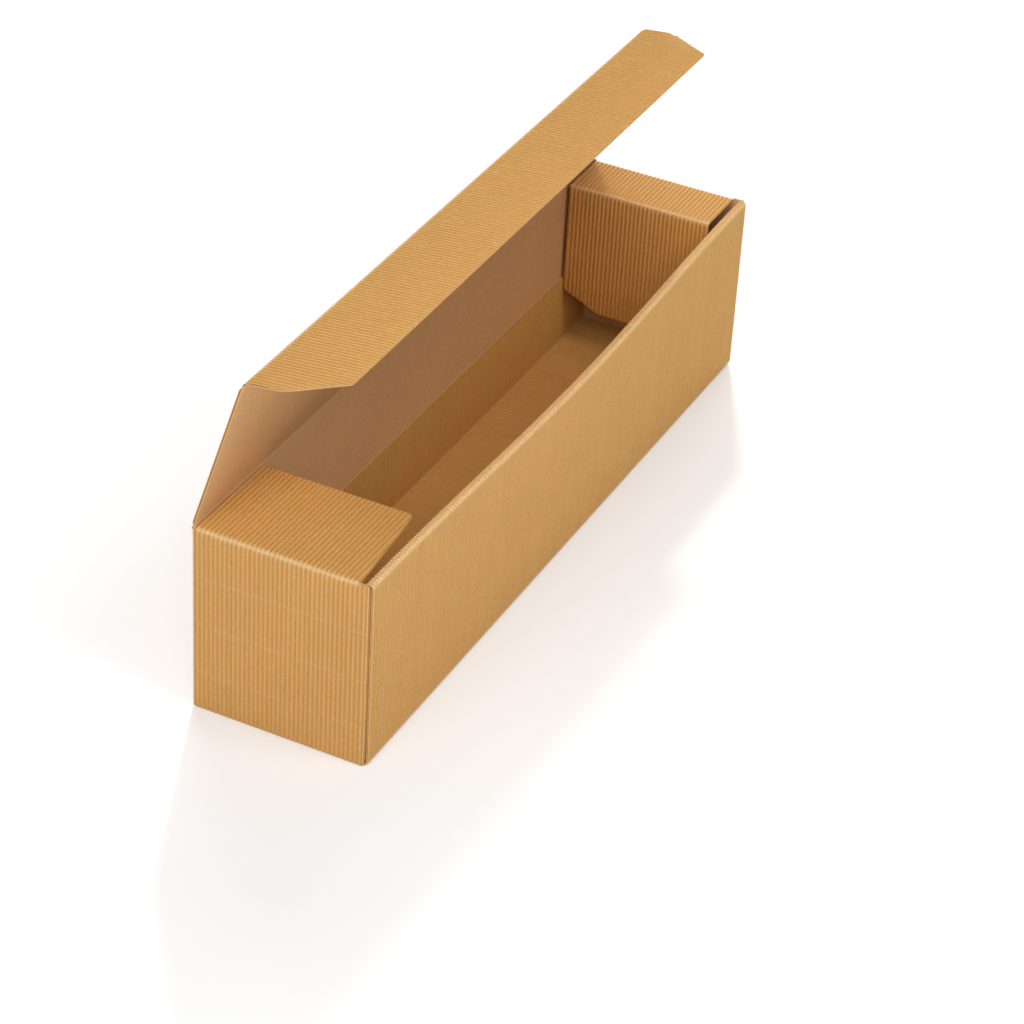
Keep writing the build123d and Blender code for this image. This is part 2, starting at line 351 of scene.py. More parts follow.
def piece_from(name, shells, body, node, blend=None):
    """A finished piece from shells of (outer, inner, masks, u, way, slot), riding on a CAD body, or
    on none.

    masks are the height of the waves, the rub of folds and the cut edges, each kept as an
    attribute. u and way are the place on the flat board, kept as a UV map, and slot is the paper's
    material. If blend is given, the piece stays where it is and rides on no body; body and the two
    lines in blend are then not used.
    """
    points, faces, shown, flats, slots = [], [], [], [], []
    offset = 0
    for outer, inner, masks, u, way, slot in shells:
        shell_points, shell_faces = closed_shell(outer, inner)
        points.append(shell_points)
        faces.append(shell_faces + offset)
        grids = [np.broadcast_to(mask, outer.shape[:2]).ravel() for mask in masks]
        shown.append(np.tile(np.stack(grids), (1, 2)))
        place = np.stack(np.broadcast_arrays(u[None, :], way[:, None]), -1).reshape(-1, 2)
        flats.append(np.tile(place, (2, 1)))
        slots.append(np.full(len(shell_faces), slot))
        offset += len(shell_points)
    faces = np.concatenate(faces)
    mesh = bpy.data.meshes.new(name)
    mesh.from_pydata(np.concatenate(points), [], faces)
    mesh.polygons.foreach_set("material_index", np.concatenate(slots).astype(np.int32))
    for mask, values in zip(MASKS, np.concatenate(shown, 1)):
        kept = mesh.attributes.new(mask, "FLOAT", "POINT").data
        kept.foreach_set("value", values.astype(np.float32))
    flat = mesh.uv_layers.new(name="board")
    flat.uv.foreach_set("vector", np.concatenate(flats)[faces.ravel()].astype(np.float32).ravel())
    mesh.shade_smooth()
    mesh.set_sharp_from_angle(angle=SHARP_FROM)
    for material in (waves_finish, smooth_finish):
        mesh.materials.append(material)
    piece = bpy.data.objects.new(name, mesh)
    bpy.context.collection.objects.link(piece)
    if blend:
        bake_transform(piece)
    else:
        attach(piece, body)
    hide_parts(node)
    print(name, "triangles", 2 * len(faces))


WAVY, SMOOTH = 0, 1         # material slots of the two papers
MASKS = ("ridge", "rub", "cut")
SHARP_FROM = math.radians(50)


def two_papers(rows, u, low, high, place, start=None, reach=None, press=None, coarse=4, keep=(),
               cut_sides=(0, -1)):
    """Both shells of a board over the rows of a path, with columns u, and waves from low to high.

    Each point is foot + out * thickness, put into space by place(u, a, b). The wavy paper's
    thickness is PAPER + FLUTING + WAVE_DEPTH * share * height. reach gives where the last panel
    ends at each column, and start where the only panel begins, and both stretch its rows to that,
    which cuts the board to an outline. press gives the share left at each place of the stretched
    board. The flat paper needs fewer columns: every coarse-th, and those in keep. cut_sides are the
    columns that are cut edges.
    """
    shells = []
    for kind, columns in ((WAVY, u), (SMOOTH, np.union1d(u[::coarse], np.append(keep, u[-1])))):
        foot = np.repeat(rows["foot"][:, None, :], len(columns), 1)
        tail = rows["tail"][:, None]
        if reach:
            more = tail * (reach(columns) - rows["last"])
            if start:
                more = more + start(columns) * (1 - tail)
            foot = foot + more[..., None] * rows["head"]
        height = wave_height(columns, low, high)[None, :] * rows["share"][:, None]
        if press:
            height = height * press(columns[None, :], tail * reach(columns)[None, :])
        if kind == WAVY:
            outer = PAPER + FLUTING + WAVE_DEPTH * height
            inner = outer - FLUTING
        else:
            outer, inner = np.full(height.shape, PAPER), np.zeros(height.shape)
            height = height * 0
        cut = np.repeat(rows["cut"][:, None], len(columns), 1)
        cut[:, list(cut_sides)] = 1
        grids = []
        for thick in (outer, inner):
            spot = foot + rows["out"][:, None, :] * thick[..., None]
            grids.append(place(columns, spot[..., 0], spot[..., 1]))
        shells.append((*grids, (height, rows["rub"][:, None], cut), columns, rows["way"], kind))
    return shells


# %% [markdown]
# ## Kraft paper
# Unbleached kraft is a felt of brown fibres: a fine grain, a few dark and pale flecks, and a faint
# cloudiness from the way the pulp settled. It could be painted as an image, but noise at these
# three scales holds at any distance. A fibre is noise that is stretched along one direction. The
# grain is one group, which both papers use with their own strength.

# %% A node group for paper grain


def put(tree, kind, values=(), **settings):
    """Adds a node. settings are its properties, and values feed its sockets: numbers or outputs."""
    node = tree.nodes.new(kind)
    for name, value in settings.items():
        setattr(node, name, value)
    for name, value in dict(values).items():
        if isinstance(value, bpy.types.NodeSocket):
            tree.links.new(value, node.inputs[name])
        else:
            node.inputs[name].default_value = value
    return node


def calc(tree, operation, *values):
    """The result of a sum, such as MULTIPLY of two values or MULTIPLY_ADD of three."""
    return put(tree, "ShaderNodeMath", dict(enumerate(values)), operation=operation).outputs[0]


def ramp(tree, value, low, high, to_low=0.0, to_high=1.0, clamp=True):
    """A value mapped in a straight line, from low and high to to_low and to_high."""
    ends = {"From Min": low, "From Max": high, "To Min": to_low, "To Max": to_high}
    return put(tree, "ShaderNodeMapRange", {"Value": value} | ends, clamp=clamp).outputs[0]


def noise(tree, place, scale, detail, roughness=0.5):
    """Noise at a place, between 0 and 1 and mostly near 0.5."""
    values = {"Vector": place, "Scale": scale, "Detail": detail, "Roughness": roughness}
    return put(tree, "ShaderNodeTexNoise", values).outputs["Fac"]


def new_group(name, inputs, outputs):
    """A node group with named inputs and outputs, then its inputs by name, and its output node."""
    group = bpy.data.node_groups.new(name, "ShaderNodeTree")
    for way, sockets in (("INPUT", inputs), ("OUTPUT", outputs)):
        for socket, kind in sockets.items():
            group.interface.new_socket(socket, in_out=way, socket_type="NodeSocket" + kind)
    return group, put(group, "NodeGroupInput").outputs, put(group, "NodeGroupOutput")


FINE_SCALE, CLOUD_SCALE = 1100.0, 45.0      # noise to a metre
FINE_SHARE, CLOUD_SHARE = 0.7, 0.3
FIBRES = ((0.5, (260, 1500, 1500)), (-0.9, (1500, 1500, 300)), (1.9, (1500, 260, 1500)))
DARK_FIBRE, PALE_FIBRE, FULL_FIBRE = 0.66, 0.62, 0.74   # noise where a fibre begins, and is full

grain, given, leave = new_group("paper grain", {"Place": "Vector", "Fleck share": "Float"},
                                {"Tone": "Float", "Height": "Float"})
fine = noise(grain, given["Place"], FINE_SCALE, 3.0, 0.7)
cloud = noise(grain, given["Place"], CLOUD_SCALE, 3.0, 0.6)
flecks = []
for turn, scale in FIBRES:
    turned = put(grain, "ShaderNodeMapping",
                 {"Vector": given["Place"], "Rotation": (turn, 0.7 * turn, turn), "Scale": scale})
    flecks.append(noise(grain, turned.outputs["Vector"], 1.0, 1.0))
darker = ramp(grain, calc(grain, "MAXIMUM", flecks[0], flecks[1]), DARK_FIBRE, FULL_FIBRE)
paler = ramp(grain, flecks[2], PALE_FIBRE, FULL_FIBRE)
marks = calc(grain, "MULTIPLY", calc(grain, "SUBTRACT", paler, darker), given["Fleck share"])
mottle = calc(grain, "MULTIPLY_ADD", fine, FINE_SHARE, marks)
grain.links.new(calc(grain, "MULTIPLY_ADD", cloud, CLOUD_SHARE, mottle), leave.inputs["Tone"])
grain.links.new(mottle, leave.inputs["Height"])
print("paper grain:", len(grain.nodes), "nodes")

# %% [markdown]
# ## Worn folds and cut edges
# Where the board is folded or cut, its fibres are rubbed loose and look paler and greyer. Edge wear
# is often found from the curvature of a mesh, with the Pointiness of the Geometry node, but that
# changes with the mesh. Here each mesh knows how near each point is to a fold or a cut, in the
# attributes rub and cut, and one small group, used by both papers, blends towards a rubbed colour
# by them.

# %% A node group for worn edges


def mix(tree, share, first, second):
    """A colour between two, by a share. This node has its colours at 6 and 7, its result at 2."""
    return put(tree, "ShaderNodeMix", {0: share, 6: first, 7: second}, data_type="RGBA").outputs[2]


wear, given, leave = new_group(
    "worn edges", {"Colour": "Color", "Worn colour": "Color", "Rub": "Float", "Cut": "Float",
                   "Rub share": "Float", "Cut share": "Float"}, {"Colour": "Color"})
rubbed = calc(wear, "MULTIPLY", given["Rub"], given["Rub share"])
opened = calc(wear, "MULTIPLY", given["Cut"], given["Cut share"])
blended = mix(wear, calc(wear, "MAXIMUM", rubbed, opened), given["Colour"], given["Worn colour"])
wear.links.new(blended, leave.inputs["Colour"])
print("worn edges:", len(wear.nodes), "nodes")

# %% [markdown]
# ## The two finishes
# The wavy paper is paler on its crests and deeper in its troughs. Light alone would give part of
# this. The rest is painted: a painted sheen on the crests and painted shade in the troughs, as a
# mix of two colours over the height of the waves, which each mesh carries as an attribute named
# ridge. The flat paper is plainer and a little greyer.

# %% Finishes of the wavy and the flat paper
# the crest colour carries a painted sheen, and the trough colour painted shade of the grooves
CREST_SHEEN_COLOUR = (0.630, 0.365, 0.098)
TROUGH_SHADE_COLOUR = (0.580, 0.262, 0.040)
FLAT_COLOUR = (0.75, 0.44, 0.20)
FLAT_RANGE = 0.07           # how much darker and lighter the clouds make the flat paper
WORN_COLOUR = (0.80, 0.56, 0.28)
RUB_WEIGHT, CUT_WEIGHT = 0.6, 0.15
STREAK_SCALE = (420.0, 4.0, 1.0)        # streaks to a metre, across the waves and along them
STREAK_ENDS, STREAK_SHIFT = (0.3, 0.7), 0.12        # how far a streak shifts the height it colours
CLOUD_SIZE = 18.0           # clouds to a metre on the flat paper
TONE_ENDS = (0.2, 0.8)      # of the grain's tone, mapped to its darkest and lightest
GRAIN_BUMP, GRAIN_DEPTH = 0.35, 0.1 * MM


def attribute(tree, name):
    """One of the piece's own attributes."""
    return put(tree, "ShaderNodeAttribute", attribute_name=name).outputs["Fac"]


def ridge_sheen_and_shade_mask(tree, place):
    """The height of the waves, with slow streaks that run along them, as the rolls leave them. It
    places the painted sheen of the crests and the painted shade of the troughs.
    """
    board = put(tree, "ShaderNodeUVMap", uv_map="board").outputs[0]
    along = put(tree, "ShaderNodeMapping", {"Vector": board, "Scale": STREAK_SCALE}).outputs[0]
    shift = ramp(tree, noise(tree, along, 1.0, 3.0), *STREAK_ENDS, -STREAK_SHIFT, STREAK_SHIFT)
    return calc(tree, "ADD", attribute(tree, "ridge"), shift)


def cloud_mask(tree, place):
    """Slow clouds over the flat paper."""
    return noise(tree, place, CLOUD_SIZE, 4.0)


def paper_finish(name, dark, light, mask, fleck_share, strength, roughness, gloss):
    """A kraft finish: dark to light by a mask, worn at its edges, times a tone, with its bump.

    mask is a function that adds the mask's nodes to the tree and returns its output. The tone lies
    within strength of 1 or a little past it, and fleck_share is how much the fibres count in it.
    """
    material = bpy.data.materials.new(name)
    material.use_nodes = True
    tree = material.node_tree
    shader = tree.nodes["Principled BSDF"]
    place = put(tree, "ShaderNodeTexCoord").outputs["Object"]
    paper = put(tree, "ShaderNodeGroup", {"Place": place, "Fleck share": fleck_share},
                node_tree=grain)
    worn = put(tree, "ShaderNodeGroup",
               {"Colour": mix(tree, mask(tree, place), (*dark, 1), (*light, 1)),
                "Worn colour": (*WORN_COLOUR, 1), "Rub": attribute(tree, "rub"),
                "Cut": attribute(tree, "cut"), "Rub share": RUB_WEIGHT, "Cut share": CUT_WEIGHT},
               node_tree=wear)
    tone = ramp(tree, paper.outputs["Tone"], *TONE_ENDS, 1 - strength, 1 + strength, clamp=False)
    colour = put(tree, "ShaderNodeVectorMath", {0: worn.outputs[0], "Scale": tone},
                 operation="SCALE")
    tree.links.new(colour.outputs[0], shader.inputs["Base Color"])
    bump = put(tree, "ShaderNodeBump",
               {"Height": paper.outputs["Height"], "Strength": GRAIN_BUMP, "Distance": GRAIN_DEPTH})
    tree.links.new(bump.outputs[0], shader.inputs["Normal"])
    shader.inputs["Roughness"].default_value = roughness
    shader.inputs["Specular IOR Level"].default_value = gloss
    return material


flat_dark, flat_light = (tuple(share * part for part in FLAT_COLOUR)
                         for share in (1 - FLAT_RANGE, 1 + FLAT_RANGE))
# the wavy paper, with painted shade in its troughs and a painted sheen on its crests
waves_finish = paper_finish("wavy kraft paper", TROUGH_SHADE_COLOUR, CREST_SHEEN_COLOUR, ridge_sheen_and_shade_mask,
                            fleck_share=0.5, strength=0.10, roughness=0.68, gloss=1.0)
smooth_finish = paper_finish("flat kraft paper", flat_dark, flat_light, cloud_mask,
                             fleck_share=0.8, strength=0.08, roughness=0.65, gloss=0.4)
print("finishes:", waves_finish.name, "and", smooth_finish.name)

# %% [markdown]
# ## Light and floor
# The photograph has soft studio light: a lamp behind and to the right, which lights the tops and
# throws the lid's shadow on the far end, fills in front, and a pure white surround. It could be lit
# by one large dome, but then no fold would throw a shadow. Here a small far lamp throws it, large
# ones fill, and the sky is even and pale. The floor is lit like paper, and only what the camera
# sees of it is lifted to white, more the further off it is, so that it doesn't light the box more
# than a white table would.

# %% Lamps, sky and floor
CENTRE = Vector((0, 0, HEIGHT / 2))
# each lamp's direction from the box's centre, distance, width and power in watts
LAMPS = {
    "lamp_back": ((1.02, 0.47, 1.0), 3.5, 0.25, 42.0),
    "lamp_low_back": ((1.0, 0.5, 0.55), 3.0, 2.4, 45.0),
    "lamp_left": ((-1.0, -0.3, 1.0), 2.0, 1.0, 12.5),
    "lamp_near": ((-1.0, 0.1, 0.35), 2.0, 1.0, 6.2),
    "lamp_front": ((-0.8, -1.0, 0.5), 0.7, 0.5, 0.5),
    "lamp_high_front": ((-0.2, -0.9, 1.25), 1.3, 0.5, 4.9),
}
for name, (direction, distance, size, power) in LAMPS.items():
    lamp = bpy.data.objects.new(name, bpy.data.lights.new(name, "AREA"))
    lamp.data.size = size
    lamp.data.energy = power
    lamp.location = CENTRE + Vector(direction).normalized() * distance
    lamp.rotation_euler = (CENTRE - lamp.location).to_track_quat("-Z", "Y").to_euler()
    lamp.visible_glossy = name != "lamp_back"       # so small a lamp would glint on every crest
    bpy.context.collection.objects.link(lamp)

SKY = 0.25                  # strength of the sky's light; the camera itself sees it as white
WHITE = (1, 1, 1, 1)
world = bpy.data.worlds.new("pale studio")
bpy.context.scene.world = world
world.use_nodes = True
sky = world.node_tree
seen = put(sky, "ShaderNodeLightPath").outputs["Is Camera Ray"]
sky.links.new(ramp(sky, seen, 0.0, 1.0, SKY, 1.0), sky.nodes["Background"].inputs["Strength"])
sky.nodes["Background"].inputs["Color"].default_value = WHITE

FLOOR_HALF = 4.0
FLOOR_COLOUR = (0.85, 0.85, 0.85, 1)
GLOW_FROM, GLOW_TO = 0.5, 1.5           # metres from the box, between which the floor's glow grows
GLOW_LEAST, GLOW_MOST = 0.15, 1.0
floor_mesh = bpy.data.meshes.new("floor")
floor_corners = [(x * FLOOR_HALF, y * FLOOR_HALF, 0)
                 for x, y in ((-1, -1), (1, -1), (1, 1), (-1, 1))]
floor_mesh.from_pydata(floor_corners, [], [(0, 1, 2, 3)])
floor = bpy.data.objects.new("floor", floor_mesh)
bpy.context.collection.objects.link(floor)
floor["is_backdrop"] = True
white = bpy.data.materials.new("white floor")
white.use_nodes = True
tree = white.node_tree
shader = tree.nodes["Principled BSDF"]
for socket, value in (("Base Color", FLOOR_COLOUR), ("Roughness", 0.9), ("Emission Color", WHITE)):
    shader.inputs[socket].default_value = value
seen = put(tree, "ShaderNodeLightPath").outputs["Is Camera Ray"]
spot = put(tree, "ShaderNodeTexCoord").outputs["Object"]
away = put(tree, "ShaderNodeVectorMath", {0: spot}, operation="LENGTH").outputs["Value"]
glow = ramp(tree, away, GLOW_FROM, GLOW_TO, GLOW_LEAST, GLOW_MOST)
tree.links.new(calc(tree, "MULTIPLY", seen, glow), shader.inputs["Emission Strength"])
floor_mesh.materials.append(white)
bpy.context.scene.view_settings.view_transform = "Standard"
print("lamps", len(LAMPS), "sky", SKY)

# %% [markdown]
# ## The wrap
# The long side of the sheet goes from the hinge down the back, under the box, up the front, over
# the rim and back inside to a strip against the back wall. Its waves run that way too. It is made
# in three pieces, to keep each mesh light. They meet where nothing bends: in the middle of the
# base, and behind the rim.

# %% Places in space


def bow(x):
    """How far the rim stands out at x: FRONT_BOW * cos(pi x / (2 INNER_HALF))^2, 0 at its ends."""
    return FRONT_BOW * np.cos(np.pi * x / (2 * INNER_HALF)) ** 2


def in_wrap(u, a, b):
    """Points of the wrap: u along the box, a across it, b up. The front bows out near the rim."""
    in_front = a < ROLL_FACE + 2 * CALIPER
    rise = np.clip((b - FLOOR_TOP) / (UNDER_FLAPS - FLOOR_TOP), 0, 1) * in_front
    return np.stack([u + 0 * a, a - bow(u) * rise, np.maximum(b, 0)], -1)


def at_end(side):
    """Points of an end: u across the box, a inwards from its outside, and b up."""
    return lambda u, a, b: np.stack([side * (HALF_LENGTH - a), u + 0 * a, b], -1)


# %% Back wall, base, front, rim and roll-over panel
SEAM_BELOW_RIM = 6 * MM
RIM_LEAST = 0.85            # the rim's folds keep more of the waves
WALL_FOLD = LID_HINGE[1] - CREASE       # where the back wall ends and the lid's crease begins
SEAM_PLACE = (ROLL_FACE, UNDER_FLAPS - SEAM_BELOW_RIM)
back_rows = fold_path([(BACK_FACE, WALL_FOLD), (BACK_FACE, FLOOR_TOP), (0, FLOOR_TOP)],
                      1, ends=("fold", "seam"), beyond=(CREASE, FAR_OFF))
front_rows = fold_path([(0, FLOOR_TOP), (FRONT_FACE, FLOOR_TOP), (FRONT_FACE, UNDER_FLAPS),
                        (ROLL_FACE, UNDER_FLAPS), SEAM_PLACE],
                       1, least=[FOLD_LEAST, RIM_LEAST, RIM_LEAST], ends=("seam", "seam"))
roll_rows = fold_path([SEAM_PLACE, (ROLL_FACE, INNER_FLOOR), (STRIP_FACE, INNER_FLOOR),
                       (STRIP_FACE, STRIP_TOP)],
                      1, ends=("seam", "cut"), beyond=(SEAM_BELOW_RIM, FAR_OFF))
for name, rows, half in (("back_and_base", back_rows, BACK_HALF),
                         ("front_and_rim", front_rows, INNER_HALF),
                         ("inner_front_and_floor", roll_rows, INNER_HALF)):
    papers = two_papers(rows, wrap_columns(half), -BACK_HALF, BACK_HALF, in_wrap, coarse=32)
    piece_from(name, papers, "tray", "tray")

# %% [markdown]
# ## The ends
# An end wall is folded off the back wall along a wave, so its waves stand upright, and they run on
# over its top fold into the dust flap or the spacer. Three faint pale lines cross it, where a
# roller pressed the waves. The flap and the spacer are cut to an outline, so their columns have
# different lengths: the outline is a function that gives the length left at each place across. An
# ear goes on from the other side of an end wall and lies inside the double front wall. The upright
# folds are quarter turns about an axis, so they have a formula of their own.

# %% Places of the ends
WALL_LOW = EAR_INSIDE
FLAP_START = CALIPER + 0.3 * MM     # where the wall's mesh ends, just past its top fold
FLAP_LOW, FLAP_HIGH = TUCK_FACE + FOLD_GAP, BACK_FACE - EDGE_GAP
SPACER_SET_BACK = 7.5 * MM
SPACER_LOW, SPACER_HIGH = -HALF_WIDTH + SPACER_SET_BACK, STRIP_FACE - CALIPER - EDGE_GAP
wall_columns = wave_columns(WALL_LOW, BACK_FACE)


def columns_between(low, high, extra=()):
    """The columns of an end between two places across it, with both places, and any extra."""
    inside = wall_columns[(wall_columns > low + LEAST_GAP) & (wall_columns < high - LEAST_GAP)]
    return np.union1d(inside, np.concatenate([[low, high], np.asarray(extra, float)]))


# %% End walls
WALL_TOP = HEIGHT - 0.35 * MM       # of its cut edges, beside the flap
ROLLER_LINES = np.array([20.0, 44.5, 69.0]) * MM - END_LIFT
folded_rows = fold_path([(CALIPER, END_LIFT), (CALIPER, UNDER_FLAPS), (FLAP_START, UNDER_FLAPS)],
                        1, ends=("cut", "seam"), lines=ROLLER_LINES)
cut_rows = fold_path([(CALIPER, END_LIFT), (CALIPER, WALL_TOP)], 1, lines=ROLLER_LINES)
for side, name, low, high in ((-1, "near_wall", FLAP_LOW, FLAP_HIGH),
                              (1, "far_wall", SPACER_LOW, SPACER_HIGH)):
    shells = []
    for rows, start, end in ((cut_rows, WALL_LOW, low), (folded_rows, low, high),
                             (cut_rows, high, BACK_FACE)):
        shells += two_papers(rows, columns_between(start, end), WALL_LOW, BACK_FACE, at_end(side),
                             coarse=16, cut_sides=())
    piece_from(name, shells, "tray", "tray")

# %% Dust flap
FLAP_DEPTH = 56 * MM
FLAP_SET_BACK = 4.5 * MM    # what its front edge slants in by over its depth
FLAP_CORNER = 3 * MM
FLAP_ROOT = 0.5 * MM        # depth where the slanted edge begins
FLAP_GIVE = 0.25 * MM       # given back for what the rounding takes off
FLAP_LEAST = 0.4 * MM


def flap_length(y):
    """Depth of the dust flap at y: the lesser of its full depth and its slanted edge, rounded.

    The rounded lesser of p and q is (p + q - sqrt((p - q)^2 + k^2)) / 2.
    """
    full = FLAP_DEPTH - FLAP_START
    slant = (y - FLAP_LOW) / FLAP_SET_BACK * full + FLAP_ROOT
    lesser = (full + slant - np.sqrt((full - slant) ** 2 + (FLAP_CORNER * 2) ** 2)) / 2
    return np.maximum(lesser + FLAP_GIVE, FLAP_LEAST)


flap_rows = fold_path([(FLAP_START, UNDER_FLAPS), (FLAP_DEPTH, UNDER_FLAPS)], 1,
                      ends=("fold", "cut"), beyond=(FLAP_START - CALIPER, FAR_OFF))
edge_columns = FLAP_LOW + np.linspace(0, FLAP_SET_BACK + FLAP_CORNER, 60)
flap_columns = columns_between(FLAP_LOW, FLAP_HIGH, edge_columns)
flap_papers = two_papers(flap_rows, flap_columns, WALL_LOW, BACK_FACE, at_end(-1),
                         reach=flap_length, coarse=1)
piece_from("dust_flap", flap_papers, "tray", "tray")

# %% Spacer
SPACER_DEPTH = 32 * MM
SPACER_BOTTOM = 25 * MM
BEVEL_WIDTH, BEVEL_HEIGHT = 20 * MM, 9 * MM


def hang_length(y):
    """Length of the hanging panel at y: its full drop, less a bevel that grows towards its ends."""
    inset = np.minimum(y - SPACER_LOW, SPACER_HIGH - y)
    return UNDER_FLAPS - SPACER_BOTTOM - BEVEL_HEIGHT * np.clip(1 - inset / BEVEL_WIDTH, 0, 1)


spacer_face = SPACER_DEPTH - CALIPER
spacer_rows = fold_path([(FLAP_START, UNDER_FLAPS), (spacer_face, UNDER_FLAPS),
                         (spacer_face, SPACER_BOTTOM)],
                        1, ends=("fold", "cut"), beyond=(FLAP_START - CALIPER, FAR_OFF))
spacer_columns = columns_between(SPACER_LOW, SPACER_HIGH)
spacer_papers = two_papers(spacer_rows, spacer_columns, WALL_LOW, BACK_FACE, at_end(1),
                           reach=hang_length)
piece_from("spacer", spacer_papers, "tray", "tray")

# %% Ears and upright corner folds
EAR_LENGTH = 28 * MM
EAR_LOW, EAR_HIGH = END_LIFT + FLOOR_TOP + FOLD_GAP, UNDER_FLAPS - FOLD_GAP


def upright(side):
    """Points of an ear: u along the box, a across it and b up."""
    return lambda u, a, b: np.stack([side * u + 0 * a, a, b], -1)


def round_corner(centre_x, centre_y, side, towards):
    """Points of a corner fold: u is the angle, b the height, and a the distance from its axis."""
    return lambda u, a, b: np.stack([centre_x + side * a * np.sin(u),
                                     centre_y + towards * a * np.cos(u), b], -1)


ear_rows = fold_path([(EAR_INSIDE, EAR_LOW), (EAR_INSIDE, EAR_HIGH)], 1)
ear_columns = wave_columns(HALF_LENGTH - EAR_LENGTH, BACK_HALF)
corner_angles = np.linspace(0, np.pi / 2, 2 * WAVE_STEPS + 1)
CORNER_RUB = 0.6
PRESSED_EDGE = 0.35         # share of the wave's height left at a corner's lower edge
AXIS_GAP = 0.03 * MM        # the flat paper stays this far from the axis it turns about


def corner_papers(place, height):
    """Both papers round an upright fold, with one wave in its quarter turn."""
    heights = np.array([END_LIFT, END_LIFT + BESIDE_CUT[0], height / 2, height])
    b = heights[:, None] + 0 * corner_angles
    ridge = (1 - np.cos(4 * corner_angles)) / 2 * np.array([PRESSED_EDGE, 1, 1, 1])[:, None]
    cut = 0 * b + np.array([1, 0, 0, 0])[:, None]
    wavy = PAPER + FLUTING + WAVE_DEPTH * ridge
    flat = np.full(ridge.shape, PAPER)
    pairs = ((wavy, wavy - FLUTING, ridge, WAVY), (flat, 0 * flat + AXIS_GAP, 0 * ridge, SMOOTH))
    return [(place(corner_angles, outer, b), place(corner_angles, inner, b),
             (shown, CORNER_RUB * shown, cut), corner_angles * CALIPER, heights, kind)
            for outer, inner, shown, kind in pairs]


for side, name in ((-1, "near"), (1, "far")):
    ear_papers = two_papers(ear_rows, ear_columns, ear_columns[0], BACK_HALF, upright(side),
                            coarse=8)
    piece_from(f"{name}_ear", ear_papers, "tray", "tray")
    for end, y, towards, top in (("back", BACK_FACE, 1, WALL_FOLD),
                                 ("front", EAR_INSIDE, -1, WALL_TOP)):
        turned_papers = corner_papers(round_corner(side * BACK_HALF, y, side, towards), top)
        piece_from(f"{name}_{end}_corner", turned_papers, "tray", "tray")

# %% [markdown]
# ## Lid and tuck flap
# The lid is hinged on the back wall and stands open. A crease is a band where the waves are
# pressed, and it bends when the box is shut. One mesh with a bone at each hinge could do that. Here
# the bands are pieces of their own, fixed in place on no body, and the panels stay stiff, as they
# do in the hand.

# %% Lid


def lid_axes(angle):
    """Directions along the lid from its hinge, and out through its waves, at an opening angle."""
    sine, cosine = math.sin(angle), math.cos(angle)
    return np.array([-cosine, sine]), np.array([sine, cosine])


LID_TWIST = math.radians(0.4)           # at either end
LID_CORNER = 3 * MM         # radius of its corners
LID_DROP = 0.8 * MM         # how far below the fold they start
TUCK_HALF = BACK_HALF - 2 * EDGE_GAP
TUCK_ROOT, TUCK_ROOT_RUN = 0.9 * MM, 2 * MM     # width and depth of the slants beside its fold
ROOT_HALF = TUCK_HALF - TUCK_ROOT
HAIR = 0.01 * MM            # tells the column at ROOT_HALF from those past it


def in_lid(u, a, b):
    """Points u along the box, a across it and b up, on the open lid, which is a little twisted.

    a and b turn about the hinge by LID_TWIST * u / HALF_LENGTH: the near end less open, the far end
    more.
    """
    turn = LID_TWIST * u / HALF_LENGTH
    across, up = a - LID_HINGE[0], b - LID_HINGE[1]
    return np.stack([u + 0 * a, LID_HINGE[0] + across * np.cos(turn) + up * np.sin(turn),
                     LID_HINGE[1] + up * np.cos(turn) - across * np.sin(turn)], -1)


def lid_length(x):
    """Length of the lid panel at x: between its creases, and at its ends up to a rounded corner.

    The corner is LID_SPAN - CREASE - LID_DROP - r + sqrt(r^2 - past^2), with past counted from
    where the tuck flap ends. It starts a little below the fold, so that the fold's own roundness
    hides its waves.
    """
    past = np.clip(np.abs(x) - ROOT_HALF, 0, LID_CORNER)
    arc = np.sqrt(np.maximum(LID_CORNER**2 - past**2, 0))
    corner = LID_SPAN - CREASE - LID_DROP - LID_CORNER + arc
    return np.where(np.abs(x) > ROOT_HALF + HAIR, corner, LID_SPAN - 2 * CREASE)


LID_WAY, LID_OUT = lid_axes(LID_OPEN)
TUCK_WAY = lid_axes(LID_OPEN - TUCK_FOLD)[0]


def lid_spot(distance):
    """Place on the lid's smooth face at a distance from the hinge."""
    return LID_HINGE + LID_WAY * distance - LID_OUT * HALF_CALIPER


lid_rows = fold_path([lid_spot(CREASE), lid_spot(LID_SPAN - CREASE)], -1, ends=("fold", "fold"),
                     beyond=(CREASE, CREASE))


def press_corner(x, distance):
    """Share of the waves left at a distance past the lid's crease: pressed only at its corners."""
    return np.where(np.abs(x) > ROOT_HALF, pressed(LID_SPAN - CREASE - distance, FOLD_LEAST), 1)


corner_turns = np.linspace(0, np.pi / 2, 12)[1:]
corner_steps = ROOT_HALF + np.append([0, LEAST_GAP], LID_CORNER * np.sin(corner_turns))
corner_columns = np.append(corner_steps, -corner_steps)
lid_columns = wrap_columns(HALF_LENGTH, corner_columns)
lid_papers = two_papers(lid_rows, lid_columns, -BACK_HALF, BACK_HALF, in_lid, reach=lid_length,
                        press=press_corner, coarse=32, keep=corner_columns)
piece_from("lid_panel", lid_papers, "lid", "lid")

# %% Tuck flap
TUCK_DEPTH = 40 * MM
TUCK_STRAIGHT = 16.5 * MM   # depth where the bevel would leave the end
TUCK_BEVEL = 16.5 * MM      # its width
TUCK_CORNER = 18 * MM       # radius between the two
TUCK_SLOPE = (TUCK_DEPTH - TUCK_STRAIGHT) / TUCK_BEVEL
TUCK_ARC = 0.6              # angle of the corner's arc that has columns of its own


